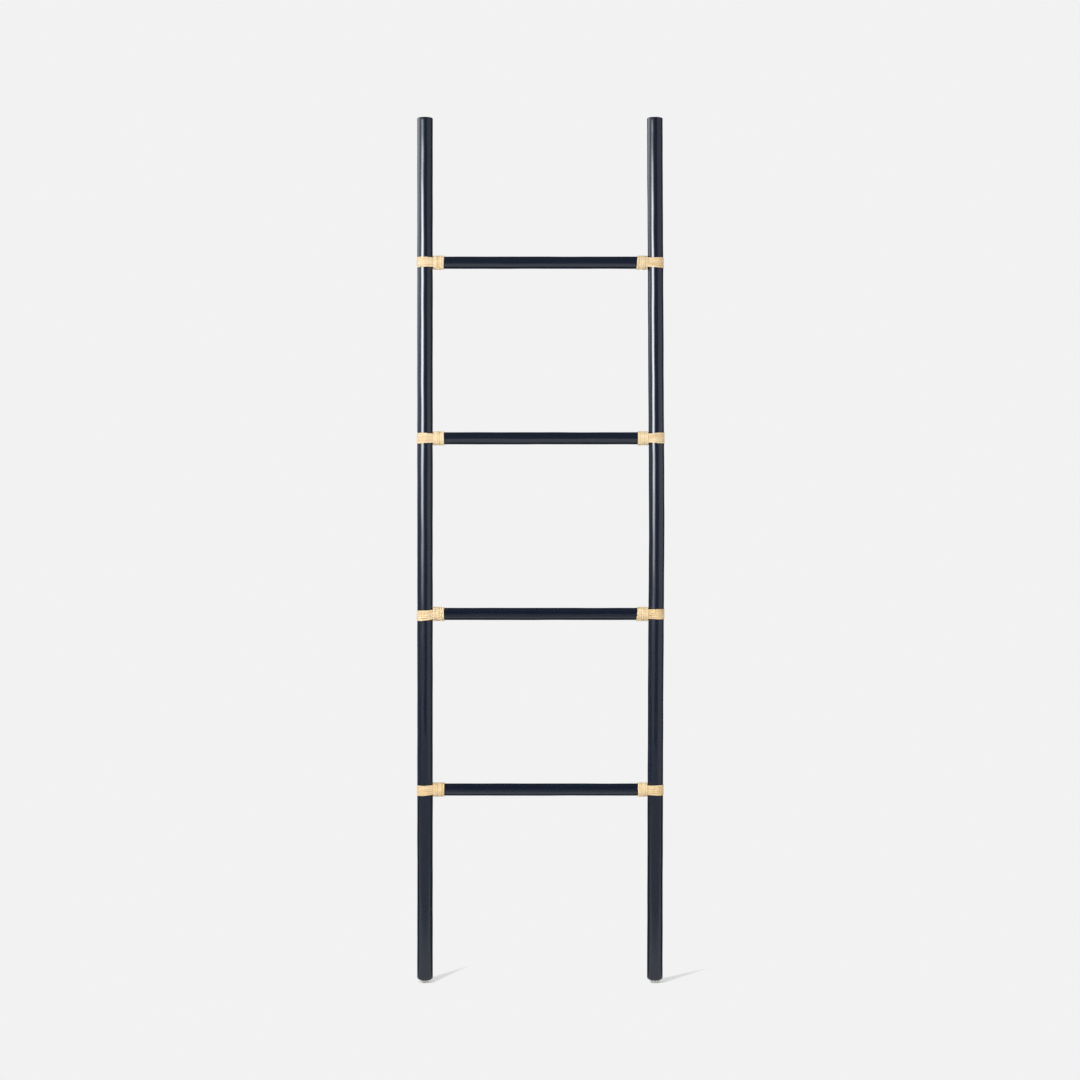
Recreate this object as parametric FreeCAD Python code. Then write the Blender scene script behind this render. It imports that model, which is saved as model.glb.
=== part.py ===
import FreeCAD, Part
import math
import os

from FreeCAD import Vector

# A leaning rack: two lacquered rattan stiles and four rungs, each joint screwed and bound with peel.
# Millimetres and degrees. The origin is on the floor at the middle of the rack's box, +Z is up,
# +X runs along the rungs from left to right, -Y is the front and +Y the wall side.

# Poles
overall_height = 1775.0
stile_spacing = 472.0
stile_diameter = 32.0
stile_top_round = 2.0
stile_foot_round = 5.0
rung_diameter = 25.0
bottom_rung_height = 396.0
top_rung_drop = 297.0
rung_names = ("bottom", "lower", "upper", "top")

# The right stile bows outward by nature, most between the two middle rungs, and is straight at its ends
right_bow = 3.8
straight_end = 40.0
rung_bow_shares = (0.25, 0.7, 0.8, 0.35)
end_bow_share = 0.12

# Peel bindings: strips side by side round the stile, and one strip wound round the rung over their tails
strip_width = 4.1
strip_thickness = 0.9
strap_strips = 5
strap_gap = 0.15
collar_turns = 5
collar_gap = 0.5
collar_setback = 0.6

# Joint screws, from the outside of the stile into the rung's end
screw_diameter = 4.0
screw_length = 60.0
screw_point = 6.0
screw_head_diameter = 8.0
screw_head_height = 2.6
screw_sink = 1.0

# Tacks that hold the loose ends of the collars, at this angle round from the top to the back
tack_diameter = 1.2
tack_length = 9.0
tack_point = 2.0
tack_head_diameter = 2.8
tack_head_height = 0.5
tack_angle = 75.0

# Domed foot glides, each moulded round the head of its nail
glide_diameter = 20.0
glide_height = 6.0
glide_rim = 1.0
glide_flat = 8.0
glide_cover = 2.0
nail_diameter = 2.4
nail_length = 22.0
nail_point = 3.0
nail_head_diameter = 7.0
nail_head_height = 1.2

# Fits
seat_clearance = 0.1
cut_overrun = 1.0
full_turn = 360.0
arc_samples = 25

# Worked out from the sizes above
stile_radius = stile_diameter / 2
rung_radius = rung_diameter / 2
stile_seat = stile_radius + seat_clearance
rung_seat = rung_radius + seat_clearance
strap_radius = stile_seat + strip_thickness
strap_pitch = strip_width + strap_gap
tail_step = 2 * math.atan2(strip_width / 2, rung_seat) + strap_gap / rung_seat
tail_start = stile_seat + collar_setback
collar_seat = math.hypot(rung_seat + strip_thickness, strip_width / 2) + seat_clearance
collar_radius = collar_seat + strip_thickness / 2
collar_pitch = strip_width + collar_gap
first_turn = tail_start + seat_clearance + strip_width / 2
last_turn = first_turn + (collar_turns - 1) * collar_pitch
tail_stop = last_turn - collar_pitch + strip_width / 2
back_radius = math.hypot(collar_radius, collar_pitch / 2)

dome_height = glide_height - glide_rim
dome_centre = (dome_height + (glide_diameter ** 2 - glide_flat ** 2) / (4 * dome_height)) / 2
dome_radius = math.hypot(dome_centre, glide_flat / 2)
nail_room = 2 * seat_clearance
nail_seat = glide_cover + nail_room + nail_head_height

right_reach = max(right_bow + stile_radius, right_bow * max(rung_bow_shares) + strap_radius)
overall_width = strap_radius + stile_spacing + right_reach
left_axis = strap_radius - overall_width / 2
right_axis = left_axis + stile_spacing
rung_spacing = (overall_height - top_rung_drop - bottom_rung_height) / (len(rung_names) - 1)
rung_heights = [bottom_rung_height + rung_spacing * index for index in range(len(rung_names))]
right_axes = [right_axis + right_bow * share for share in rung_bow_shares]
right_axis_at = dict(zip(rung_heights, right_axes))

ORIGIN = Vector(0, 0, 0)
X = Vector(1, 0, 0)
Y = Vector(0, 1, 0)
Z = Vector(0, 0, 1)


def turned(profile):
    """Solid turned about X from (along, radius) points that start and end on the axis."""
    points = [Vector(along, radius, 0) for along, radius in profile]
    return Part.Face(Part.makePolygon(points + points[:1])).revolve(ORIGIN, X, full_turn)


def pin(diameter, length, point, head_diameter, head_height):
    """Nail along +X with the underside of its flat head at the origin."""
    radius = diameter / 2
    head_radius = head_diameter / 2
    return turned([(-head_height, 0), (-head_height, head_radius), (0, head_radius), (0, radius),
                   (length - point, radius), (length, 0)])


def pin_hole(diameter, length):
    """Hole along +X that a nail's shank goes into."""
    radius = diameter / 2 + seat_clearance
    end = length + seat_clearance
    return turned([(-cut_overrun, 0), (-cut_overrun, radius), (length, radius), (end, 0)])


def screw_outline(room):
    """Points of a countersunk screw from head to tip, along the rung's axis, with room all round."""
    head = screw_sink - stile_radius
    neck = head + screw_head_height
    tip = head + screw_length
    radius = screw_diameter / 2 + room
    head_radius = screw_head_diameter / 2 + room
    return [(head, head_radius), (neck, radius), (tip - screw_point, radius), (tip + room, 0)]


def joint_screw():
    """Screw with its head sunk below the outside of the stile."""
    outline = screw_outline(0)
    head, _ = outline[0]
    return turned([(head, 0)] + outline)


def screw_hole():
    """Hole for a joint screw, with a pocket that opens on the outside of the stile."""
    outline = screw_outline(seat_clearance)
    _, pocket = outline[0]
    mouth = -stile_radius - cut_overrun
    return turned([(mouth, 0), (mouth, pocket)] + outline)


def rectangle(centre, across, outward):
    """Outline of a strip's section: across is the way of its width, outward of its thickness."""
    half_width = across * (strip_width / 2)
    half_depth = outward * (strip_thickness / 2)
    corners = [centre - half_width - half_depth, centre + half_width - half_depth,
               centre + half_width + half_depth, centre - half_width + half_depth]
    return Part.makePolygon(corners + corners[:1])


def strap_strip(place):
    """One strip of a strap, counted up from the middle one: round the stile, with a tail on the rung."""
    level = Vector(0, 0, place * strap_pitch)
    angle = place * tail_step
    outward = Vector(0, -math.cos(angle), math.sin(angle))
    across = Vector(0, math.sin(angle), math.cos(angle))
    tail_middle = outward * (rung_seat + strip_thickness / 2)

    # The strip leaves the stile where a straight line to the rung touches it
    depth = rung_seat * math.cos(angle) - strip_width / 2 * abs(math.sin(angle))
    reach = math.hypot(tail_start, depth)
    leave = math.atan2(depth, tail_start) + math.acos(stile_seat / reach)
    off_stile = Vector(math.cos(leave), -math.sin(leave), 0)
    stile_middle = level + off_stile * (stile_seat + strip_thickness / 2)

    on_stile = rectangle(stile_middle, Z, off_stile)
    on_rung = rectangle(tail_middle + X * tail_start, across, outward)
    tail_end = rectangle(tail_middle + X * tail_stop, across, outward)
    front_tail = Part.makeLoft([on_stile, on_rung, tail_end], True, True)
    wrap = Part.Face(on_stile).revolve(ORIGIN, Z, 2 * math.degrees(leave) - full_turn)
    return wrap.fuse([front_tail, front_tail.mirror(ORIGIN, Y)]).Solids[0]


def strap():
    """Strips side by side round one joint."""
    middle = (strap_strips - 1) / 2
    return Part.makeCompound([strap_strip(index - middle) for index in range(strap_strips)])


def behind(along, angle):
    """Point on the half turn behind the rung, from the top down to the bottom one pitch further on."""
    step = collar_pitch / 2 * (1 - math.cos(angle))
    return Vector(along + step, back_radius * math.sin(angle), collar_radius * math.cos(angle))


def collar_path():
    """Middle line of a winding: half turns square to the rung in front, and stepping along it behind."""
    arcs = []
    for turn in range(collar_turns):
        along = first_turn + turn * collar_pitch
        bottom = Vector(along, 0, -collar_radius)
        front = Vector(along, -collar_radius, 0)
        top = Vector(along, 0, collar_radius)
        arcs.append(Part.Arc(bottom, front, top).toShape())
        last_angle = math.pi if turn + 1 < collar_turns else math.pi / 2
        arcs.append(Part.Arc(top, behind(along, last_angle / 2), behind(along, last_angle)).toShape())
    return Part.Wire(arcs)


def least_gap(path):
    """Least gap between the edges of different turns of a winding, on points along its middle line."""
    points = [point for arc in path.Edges for point in arc.discretize(arc_samples)]
    half_width = X * (strip_width / 2)
    return min((points[later] - half_width).distanceToPoint(points[earlier] + half_width)
               for earlier in range(len(points)) for later in range(earlier + arc_samples, len(points)))


def tack_place():
    """Where a tack goes through the last turn of a collar, pointing at the rung's axis."""
    point = behind(last_turn, math.radians(tack_angle))
    outward = Vector(0, point.y, point.z).normalize()
    return FreeCAD.Placement(point + outward * (strip_thickness / 2 + seat_clearance),
                             FreeCAD.Rotation(X, -outward))


def collar():
    """One unbroken strip wound round the rung's end over the tails of the strap."""
    path = collar_path()
    print("least gap of a collar's strip to itself:", round(least_gap(path), 3), "mm")
    start = Vector(first_turn, 0, -collar_radius)
    winding = Part.BRepOffsetAPI.MakePipeShell(path)
    winding.setBiNormalMode(X)
    winding.add(rectangle(start, X, -Z))
    winding.build()
    winding.makeSolid()
    return winding.shape()


def placed(shape, placement):
    """Copy of a shape at a placement."""
    return shape.transformed(placement.toMatrix(), True)


def at_joint(shape, side, height):
    """Copy of a left joint's shape at one joint, mirrored on the right."""
    if side == "left":
        return shape.translated(Vector(left_axis, 0, height))
    return shape.mirror(ORIGIN, X).translated(Vector(right_axis_at[height], 0, height))


def right_line():
    """Points up the right stile's axis, bowed most halfway between the two middle rungs."""
    line = [Vector(right_axis_at[height], 0, height) for height in rung_heights]
    middle = Vector(right_axis + right_bow, 0, sum(rung_heights) / len(rung_heights))
    line.insert(len(line) // 2, middle)
    foot = Vector(right_axis, 0, glide_height + straight_end)
    head = Vector(right_axis, 0, overall_height - straight_end)
    end_axis = right_axis + right_bow * end_bow_share
    below = Vector(end_axis, 0, (foot.z + line[0].z) / 2)
    above = Vector(end_axis, 0, (line[-1].z + head.z) / 2)
    return [foot, below] + line + [above, head]


def left_pole():
    """Straight pole of the left stile."""
    return Part.makeCylinder(stile_radius, overall_height - glide_height, Vector(left_axis, 0, glide_height))


def right_pole():
    """Bowed pole of the right stile between its straight ends, with its seam at the back, clear of the screws."""
    sections = []
    for point in right_line():
        circle = Part.makeCircle(stile_radius, point).rotated(point, Z, full_turn / 4)
        sections.append(Part.Wire(circle))
    foot = Part.makeCylinder(stile_radius, straight_end, Vector(right_axis, 0, glide_height))
    head = Part.makeCylinder(stile_radius, straight_end, Vector(right_axis, 0, overall_height - straight_end))
    return Part.makeLoft(sections, True).fuse([foot, head])


def eased(pole):
    """Stile with its top and foot eased."""
    head = max(pole.Edges, key=lambda edge: edge.BoundBox.ZMin)
    pole = pole.makeFillet(stile_top_round, [head])
    foot = min(pole.Edges, key=lambda edge: edge.BoundBox.ZMax)
    return pole.makeFillet(stile_foot_round, [foot])


def cope(joint, along):
    """Cut that seats a rung's end on a stile whose axis runs along this way through the joint."""
    half_length = rung_radius + cut_overrun
    return Part.makeCylinder(stile_seat, 2 * half_length, joint - along * half_length, along)


def rung(height):
    """Pole between the stiles, its ends coped to sit on them."""
    left = Vector(left_axis, 0, height)
    right = Vector(right_axis_at[height], 0, height)
    below = [point for point in right_line() if point.z < height][-1]
    above = [point for point in right_line() if point.z > height][0]
    pole = Part.makeCylinder(rung_radius, right.x - left.x, left, X)
    return pole.cut([cope(left, Z), cope(right, (above - below).normalize())])


def glide():
    """Domed pad under a stile, with a flat to stand on and a pocket for its nail."""
    pad = Part.makeCylinder(glide_diameter / 2, glide_height)
    dome = Part.makeSphere(dome_radius, Vector(0, 0, dome_centre))
    pocket = pin(nail_diameter + nail_room, nail_length, nail_point,
                 nail_head_diameter + nail_room, nail_head_height + nail_room)
    return pad.common(dome).cut(placed(pocket, nail_place))


sides = ("left", "right")
rungs = list(zip(rung_names, rung_heights))
joints = [(side, name, height) for side in sides for name, height in rungs]
foot_places = {"left": Vector(left_axis, 0, 0), "right": Vector(right_axis, 0, 0)}

nail_place = FreeCAD.Placement(Vector(0, 0, nail_seat), FreeCAD.Rotation(X, Z))
nail = placed(pin(nail_diameter, nail_length, nail_point, nail_head_diameter, nail_head_height), nail_place)
nail_hole = placed(pin_hole(nail_diameter, nail_length), nail_place)

screw_cut = screw_hole()
tack_cut = placed(pin_hole(tack_diameter, tack_length), tack_place())
tack = placed(pin(tack_diameter, tack_length, tack_point, tack_head_diameter, tack_head_height),
              tack_place())
one_strap = strap()
one_collar = collar().cut(tack_cut)

nodes = {}
for side, pole in (("left", left_pole()), ("right", right_pole())):
    holes = [at_joint(screw_cut, side, height) for height in rung_heights]
    holes.append(nail_hole.translated(foot_places[side]))
    nodes["stile_" + side] = eased(pole).cut(holes)
    nodes["glide_" + side] = glide().translated(foot_places[side])

for name, height in rungs:
    holes = [at_joint(cut, side, height) for side in sides for cut in (screw_cut, tack_cut)]
    nodes["rung_" + name] = rung(height).cut(holes)

for side, name, height in joints:
    nodes["strap_" + side + "_" + name] = at_joint(one_strap, side, height)
    nodes["collar_" + side + "_" + name] = at_joint(one_collar, side, height)

screw = joint_screw()
nodes["joint_screws"] = Part.makeCompound([at_joint(screw, side, height) for side, _, height in joints])
nodes["binding_tacks"] = Part.makeCompound([at_joint(tack, side, height) for side, _, height in joints])
nodes["glide_nails"] = Part.makeCompound([nail.translated(place) for place in foot_places.values()])

os.makedirs("parts", exist_ok=True)
for name, shape in nodes.items():
    shape.exportStep("parts/" + name + ".step")
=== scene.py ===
import math

import bpy
import numpy as np
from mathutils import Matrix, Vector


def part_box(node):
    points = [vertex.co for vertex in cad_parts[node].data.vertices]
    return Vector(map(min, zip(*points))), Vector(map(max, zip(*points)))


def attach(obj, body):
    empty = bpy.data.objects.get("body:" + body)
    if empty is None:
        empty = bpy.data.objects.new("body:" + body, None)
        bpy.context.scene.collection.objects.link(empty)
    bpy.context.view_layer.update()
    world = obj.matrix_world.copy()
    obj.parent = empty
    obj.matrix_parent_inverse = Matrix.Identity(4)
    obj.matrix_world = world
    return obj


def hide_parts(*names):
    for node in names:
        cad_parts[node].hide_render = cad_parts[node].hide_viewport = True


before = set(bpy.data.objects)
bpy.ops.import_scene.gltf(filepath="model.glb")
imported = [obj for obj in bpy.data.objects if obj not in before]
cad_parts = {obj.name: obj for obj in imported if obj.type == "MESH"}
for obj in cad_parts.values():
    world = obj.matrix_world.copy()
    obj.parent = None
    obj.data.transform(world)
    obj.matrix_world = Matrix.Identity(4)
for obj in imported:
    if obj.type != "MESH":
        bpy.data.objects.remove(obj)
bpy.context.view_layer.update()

# Lacquered rattan poles in a ladder, with joints bound in natural peel. Metres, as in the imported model:
# +X along the rungs, -Y the front, +Z up, the floor at zero.

# Sizes of the bindings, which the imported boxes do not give
STRIP_THICKNESS = 0.0009
STRIP_WIDTH = 0.0041
STRAP_STRIPS = 5
STRAP_GAP = 0.00015
COLLAR_TURNS = 5
COLLAR_PITCH = 0.0046
COLLAR_FULLNESS = 1.115
STRAP_FULLNESS = 1.03
SECTION_POWER = 3.0
COLLAR_SETBACK = 0.0006
SEAT = 0.0001

# How far along the stile a strap eases from its level at the collar to its level outside, and how much of
# that is done where it leaves the stile
EASE_LENGTH = 0.034
EASE_LEAD = 0.012

# Eased ends of the stiles, the straight ends of the right one, and the dome of the glides
STILE_TOP_ROUND = 0.002
STILE_FOOT_ROUND = 0.005
STRAIGHT_END = 0.04
GLIDE_FLAT = 0.004
GLIDE_RIM = 0.001
GLIDE_EDGE = 0.0003

# Unevenness of the natural poles: the rate along, number round and phase of each wave, the length of pole
# that a rung takes its waves from, and the ends over which they fade, on a rung as a share of it
POLE_LUMP = 0.00024
LUMP_WAVES = ((19.0, 2, 0.4), (31.0, 3, 1.9), (47.0, 1, 3.1), (73.0, 2, 5.2))
RUNG_RUN = 0.45
STILE_FADE = 0.03
RUNG_FADE = 1 / 12

# Unevenness of the hand-laid strips: the size, rate, step to the next edge and seeds of each wave of an
# edge, and the sizes and rates of the waves in a winding
STRIP_WANDER = 0.00022
EDGE_WAVES = ((1.0, 7.0, 2.4, 1.0), (0.5, 23.0, 4.1, 2.0))
COLLAR_STRAY_RATE = 0.37
COLLAR_LIFT = STRIP_WANDER / 3
COLLAR_LIFT_RATE = 0.53
COLLAR_SWELL = 0.012
COLLAR_SWELL_RATE = 0.81

# Seeds, which put the unevenness and the grain of each piece out of step with the next
STILE_SEED = {"left": 1.0, "right": 2.6}
STILE_GRAIN_SHIFT = 3.0
RUNG_SEED = 3.3
RUNG_GRAIN_SHIFT = 5.0
STRAP_SEED = {"left": 0.0, "right": 2.2}
STRAP_SEED_RATE = 7
STRIP_SEED_STEP = 1.7
COLLAR_SEED = {"left": 0.7, "right": 3.1}
COLLAR_SEED_RATE = 5

# Finenesses of the meshes, with the rings on flat ends as shares of their radius, and how far a rung's
# rings crowd at its ends
POLE_SIDES = 96
STILE_RINGS = 420
STILE_END_RINGS = np.array([0.02, 0.3, 0.7])
STILE_FOOT_STEPS = 12
STILE_TOP_STEPS = 9
RUNG_RINGS = 160
RUNG_END_RINGS = np.array([0.02, 0.4, 0.8])
RUNG_CROWDING = 0.3
SECTION_POINTS = 22
HALF_TURN_STEPS = 44
WRAP_STEPS = 56
BRIDGE_STEPS = 20
TAIL_STEPS = 24
DOME_STEPS = 22
GLIDE_SIDES = 64
GLIDE_FLAT_RING = 0.6
GLIDE_TOP_RING = 0.5
GLIDE_MIDDLE = 0.0002

RUNG_NAMES = ("bottom", "lower", "upper", "top")
SIDES = ("left", "right")
ALONG = np.array([1.0, 0.0, 0.0])
UP = np.array([0.0, 0.0, 1.0])


def centre(node):
    """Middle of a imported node's box."""
    low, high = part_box(node)
    return (low + high) / 2


def half_size(node):
    """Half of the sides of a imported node's box."""
    low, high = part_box(node)
    return (high - low) / 2


LEFT_AXIS = centre("stile_left").x
STILE_RADIUS = half_size("stile_left").x
RUNG_RADIUS = half_size("rung_top").y
STILE_SEAT = STILE_RADIUS + SEAT
RUNG_SEAT = RUNG_RADIUS + SEAT
STRAP_RADIUS = half_size("strap_left_top").y
STRAP_PITCH = STRIP_WIDTH + STRAP_GAP
TAIL_STEP = 2 * math.atan2(STRIP_WIDTH / 2, RUNG_SEAT) + STRAP_GAP / RUNG_SEAT
TAIL_START = STILE_SEAT + COLLAR_SETBACK
COLLAR_SEAT = math.hypot(RUNG_SEAT + STRIP_THICKNESS, STRIP_WIDTH / 2) + SEAT
COLLAR_RADIUS = COLLAR_SEAT + STRIP_THICKNESS / 2
FIRST_TURN = TAIL_START + SEAT + STRIP_WIDTH / 2
TAIL_STOP = FIRST_TURN + (COLLAR_TURNS - 2) * COLLAR_PITCH + STRIP_WIDTH / 2
BACK_RADIUS = math.hypot(COLLAR_RADIUS, COLLAR_PITCH / 2)
GLIDE_RADIUS = half_size("glide_left").x
GLIDE_HEIGHT = 2 * half_size("glide_left").z
STILE_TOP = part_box("stile_left")[1].z

RUNG_HEIGHT = {name: centre("collar_left_" + name).z for name in RUNG_NAMES}
RIGHT_END = centre("glide_right").x
RIGHT_AXIS = {name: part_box("strap_right_" + name)[1].x - STRAP_RADIUS for name in RUNG_NAMES}
RIGHT_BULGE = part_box("stile_right")[1].x - STILE_RADIUS

# How each strap was laid: its drop on the outside of the stile and at the collar, and its spread at the
# collar and on the outside
LAID = {
    ("left", "top"): (0.0, 0.0, 0.90, 1.00),
    ("right", "top"): (0.0010, 0.0, 0.86, 1.02),
    ("left", "upper"): (0.0, 0.0, 0.88, 1.04),
    ("right", "upper"): (0.0, 0.0, 0.80, 1.06),
    ("left", "lower"): (0.0034, 0.0013, 0.92, 1.00),
    ("right", "lower"): (0.0, 0.0, 0.93, 1.00),
    ("left", "bottom"): (0.0014, 0.0, 0.92, 1.00),
    ("right", "bottom"): (0.0003, 0.0, 0.90, 1.00),
}

# How each collar was wound: how far its last turn was drawn in to the stile, and how far that turn leans
WOUND = {
    ("left", "top"): (0.0005, 0.0003),
    ("right", "top"): (0.0011, -0.0008),
    ("left", "upper"): (0.0001, 0.0),
    ("right", "upper"): (0.0012, -0.0001),
    ("left", "lower"): (0.0003, -0.0004),
    ("right", "lower"): (-0.0003, -0.0009),
    ("left", "bottom"): (-0.0004, 0.0001),
    ("right", "bottom"): (0.0031, 0.0001),
}

# How tan each strap and each collar is painted, from cream at zero to tan at one: partly the cane's own
# tone,
# and partly painted shade that darkens the right-hand and the lower joints
JOINT_TAN_AND_SHADE = {
    ("left", "top"): (0.05, 0.0),
    ("right", "top"): (0.25, 0.10),
    ("left", "upper"): (0.0, 0.05),
    ("right", "upper"): (0.32, 0.05),
    ("left", "lower"): (0.15, 0.10),
    ("right", "lower"): (0.65, 0.30),
    ("left", "bottom"): (0.45, 0.52),
    ("right", "bottom"): (0.60, 0.05),
}


def smooth_step(share):
    """Cubic ease from 0 to 1: three times the square of the share less twice its cube."""
    held = np.clip(share, 0.0, 1.0)
    return held * held * (3 - 2 * held)


def unit(vectors):
    """Vectors divided by their lengths."""
    return vectors / np.linalg.norm(vectors, axis=-1, keepdims=True)


def eased_path(points, passes):
    """Path whose inner points are averaged with their neighbours, one part, two parts, one part."""
    for _ in range(passes):
        points[1:-1] = (points[:-2] + 2 * points[1:-1] + points[2:]) / 4
    return points


def strip_section():
    """Loop of a strip's section: a superellipse, sign times power of cosine and of sine."""
    turn = np.linspace(0.0, 2 * math.pi, SECTION_POINTS, endpoint=False)
    power = 2.0 / SECTION_POWER
    return (np.sign(np.cos(turn)) * np.abs(np.cos(turn)) ** power,
            np.sign(np.sin(turn)) * np.abs(np.sin(turn)) ** power)


def carried_section(path, across, outward, half_width, half_depth):
    """Strip surface: path point plus section width times across plus section depth times outward."""
    wide, deep = strip_section()
    return (path[:, None, :]
            + (half_width[:, None] * wide)[:, :, None] * across[:, None, :]
            + (half_depth * deep)[None, :, None] * outward[:, None, :])


def strip_marks(path, mark):
    """Per-point marks of a strip: length along it, share across it from -1 to 1, and its own number."""
    wide, _ = strip_section()
    steps = np.linalg.norm(np.diff(path, axis=0), axis=1)
    along = np.concatenate([[0.0], np.cumsum(steps)])
    ones = np.ones((len(path), SECTION_POINTS))
    return np.stack([along[:, None] * ones, wide[None, :] * ones, mark * ones], axis=-1)


def with_middles(grid):
    """Points of a tube in one list, and after them the means of its first and of its last ring."""
    return np.concatenate([grid.reshape(-1, 3), grid[:1].mean(axis=1), grid[-1:].mean(axis=1)])


def tube_faces(rows, sides):
    """Corner numbers of a tube's quads, and of the fans that close its two ends at added middles."""
    ring = np.arange(sides)
    after = (ring + 1) % sides
    base = np.arange(rows - 1)[:, None] * sides
    quads = np.stack([base + ring, base + after, base + sides + after, base + sides + ring], axis=-1)
    end = (rows - 1) * sides
    middle = np.full(sides, rows * sides)
    fans = np.concatenate([np.stack([middle, after, ring], axis=-1),
                           np.stack([middle + 1, end + ring, end + after], axis=-1)])
    return quads.reshape(-1, 4), fans


def faces_inward(points, quads, fans):
    """Whether the volume under the faces, a sum of triple products over triangles, is below zero."""
    triangles = np.concatenate([quads[:, [0, 1, 2]], quads[:, [0, 2, 3]], fans])
    a, b, c = (points[triangles[:, corner]] for corner in range(3))
    return np.einsum("ij,ij->i", a, np.cross(b, c)).sum() < 0


def closed_piece(name, grids, marks, mark_name):
    """One mesh from closed tubes, each a grid of points by row and side, with a vector mark per point."""
    all_points, all_marks, all_quads, all_fans = [], [], [], []
    count = 0
    for grid, mark in zip(grids, marks):
        points = with_middles(grid)
        quads, fans = tube_faces(*grid.shape[:2])
        if faces_inward(points - points.mean(axis=0), quads, fans):
            quads, fans = quads[:, ::-1], fans[:, ::-1]
        all_points.append(points)
        all_marks.append(with_middles(mark))
        all_quads.append(quads + count)
        all_fans.append(fans + count)
        count += len(points)
    quads, fans = np.concatenate(all_quads), np.concatenate(all_fans)
    corners = np.concatenate([quads.ravel(), fans.ravel()])
    starts = np.concatenate([np.arange(len(quads)) * 4, quads.size + np.arange(len(fans)) * 3])
    mesh = bpy.data.meshes.new(name)
    mesh.vertices.add(count)
    mesh.vertices.foreach_set("co", np.concatenate(all_points).astype(np.float32).ravel())
    mesh.loops.add(len(corners))
    mesh.loops.foreach_set("vertex_index", corners.astype(np.int32))
    mesh.polygons.add(len(starts))
    mesh.polygons.foreach_set("loop_start", starts.astype(np.int32))
    mesh.polygons.foreach_set("use_smooth", np.ones(len(starts), dtype=bool))
    layer = mesh.attributes.new(mark_name, "FLOAT_VECTOR", "POINT")
    layer.data.foreach_set("vector", np.concatenate(all_marks).astype(np.float32).ravel())
    mesh.update(calc_edges=True)
    mesh.validate()
    piece = bpy.data.objects.new(name, mesh)
    bpy.context.scene.collection.objects.link(piece)
    return piece


def dressed(piece, finish, node):
    """Gives a piece its finish and slot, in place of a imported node, on the rack's one body."""
    piece.data.materials.append(finish)
    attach(piece, "root")
    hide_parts(node)


def tanned_and_shaded(piece, tan_and_shade_share):
    """Marks every point of a piece with how tan it is painted: its cane's tone and painted shade."""
    layer = piece.data.attributes.new("tan_and_shade_share", "FLOAT", "POINT")
    layer.data.foreach_set("value", np.full(len(piece.data.vertices), tan_and_shade_share, dtype=np.float32))


def lumps(along, turn, seed):
    """Uneven growth of a pole: the mean of slow waves along it, each turned round it by its own angle."""
    total = sum(np.sin(rate * along + order * turn + phase * seed) / len(LUMP_WAVES)
                for rate, order, phase in LUMP_WAVES)
    return POLE_LUMP * total


def quarter_round(radius, steps):
    """Shares of a quarter circle: sines and cosines of even angles, times the radius."""
    angle = np.linspace(0.0, math.pi / 2, steps)
    return radius * np.sin(angle), radius * np.cos(angle)


def stile_profile():
    """Heights and radii up a stile: flat foot, quarter round, shaft, quarter round and flat top."""
    foot_out, foot_down = quarter_round(STILE_FOOT_ROUND, STILE_FOOT_STEPS)
    top_out, top_up = quarter_round(STILE_TOP_ROUND, STILE_TOP_STEPS)
    shaft_low, shaft_high = GLIDE_HEIGHT + STILE_FOOT_ROUND, STILE_TOP - STILE_TOP_ROUND
    heights = np.concatenate([
        np.full(len(STILE_END_RINGS), GLIDE_HEIGHT),
        shaft_low - foot_down,
        np.linspace(shaft_low, shaft_high, STILE_RINGS)[1:-1],
        shaft_high + top_up[::-1],
        np.full(len(STILE_END_RINGS), STILE_TOP)])
    radii = np.concatenate([
        STILE_END_RINGS * (STILE_RADIUS - STILE_FOOT_ROUND),
        STILE_RADIUS - STILE_FOOT_ROUND + foot_out,
        np.full(STILE_RINGS - 2, STILE_RADIUS),
        STILE_RADIUS - STILE_TOP_ROUND + top_out[::-1],
        STILE_END_RINGS[::-1] * (STILE_RADIUS - STILE_TOP_ROUND)])
    return heights, radii


def spline(heights, known, places):
    """Natural cubic spline through the places at the known heights.

    In each span it is the cubes of the ways to its two ends times the bends there, and a straight line.
    """
    step = np.diff(known)
    inner = np.arange(1, len(known) - 1)
    matrix = np.eye(len(known))
    matrix[inner, inner - 1] = step[:-1]
    matrix[inner, inner] = 2 * (step[:-1] + step[1:])
    matrix[inner, inner + 1] = step[1:]
    bend = np.zeros(len(known))
    bend[1:-1] = 6 * np.diff(np.diff(places) / step)
    bend = np.linalg.solve(matrix, bend)
    span = np.clip(np.searchsorted(known, heights) - 1, 0, len(step) - 1)
    over, under, wide = known[span + 1] - heights, heights - known[span], step[span]
    return ((bend[span] * over ** 3 + bend[span + 1] * under ** 3) / (6 * wide)
            + (places[span] / wide - bend[span] * wide / 6) * over
            + (places[span + 1] / wide - bend[span + 1] * wide / 6) * under)


def stile_axis(side, heights):
    """Where a stile's axis is: a plumb line on the left, the spline through the joints on the right."""
    if side == "left":
        return np.full_like(heights, LEFT_AXIS)
    joints = [RUNG_HEIGHT[name] for name in RUNG_NAMES]
    known = np.array([GLIDE_HEIGHT + STRAIGHT_END, *joints[:2], sum(joints) / len(joints), *joints[2:],
                      STILE_TOP - STRAIGHT_END])
    places = np.array([RIGHT_END, RIGHT_AXIS["bottom"], RIGHT_AXIS["lower"], RIGHT_BULGE,
                       RIGHT_AXIS["upper"], RIGHT_AXIS["top"], RIGHT_END])
    return spline(np.clip(heights, known[0], known[-1]), known, places)


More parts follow.
